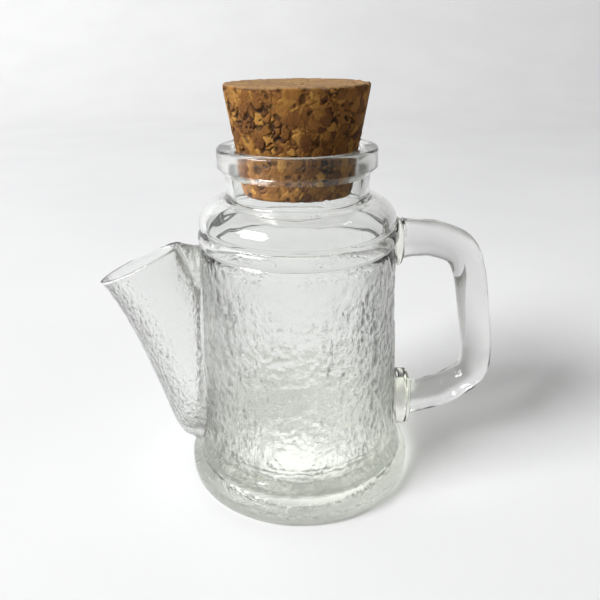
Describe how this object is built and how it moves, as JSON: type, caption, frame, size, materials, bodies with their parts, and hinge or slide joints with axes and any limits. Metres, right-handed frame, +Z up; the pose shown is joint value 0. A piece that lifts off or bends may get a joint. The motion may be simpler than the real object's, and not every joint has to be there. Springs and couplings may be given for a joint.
{
  "type": "glass oil bottle",
  "caption": "Clear glass table bottle for oil, with an ice-textured body, a side pouring spout, a rod handle and a tapered cork stopper that pulls out of a collared neck.",
  "frame": {"origin": "on the vessel's axis, at the plane that the foot ring stands on", "axes": "+Z up along the vessel's axis, -X towards the spout, +X towards the handle"},
  "size_m": [0.1359, 0.081, 0.135],
  "materials": {
    "clear_glass": "clear, smooth and fire-polished on neck, shoulder, ring and handle, ice-textured relief on body and spout",
    "pressed_cork": "raw agglomerated cork granules, matt, with open pits"
  },
  "bodies": {
    "glassware": {"glass_vessel": "clear_glass", "pouring_spout": "clear_glass", "handle_rod": "clear_glass", "handle_upper_pad": "clear_glass", "handle_lower_pad": "clear_glass"},
    "stopper": {"cork_stopper": "pressed_cork"}
  },
  "joints": [
    {"name": "cork_lift", "type": "slide", "parent": "glassware", "child": "stopper", "axis": [0, 0, 1], "range_m": [0, 0.04]}
  ]
}
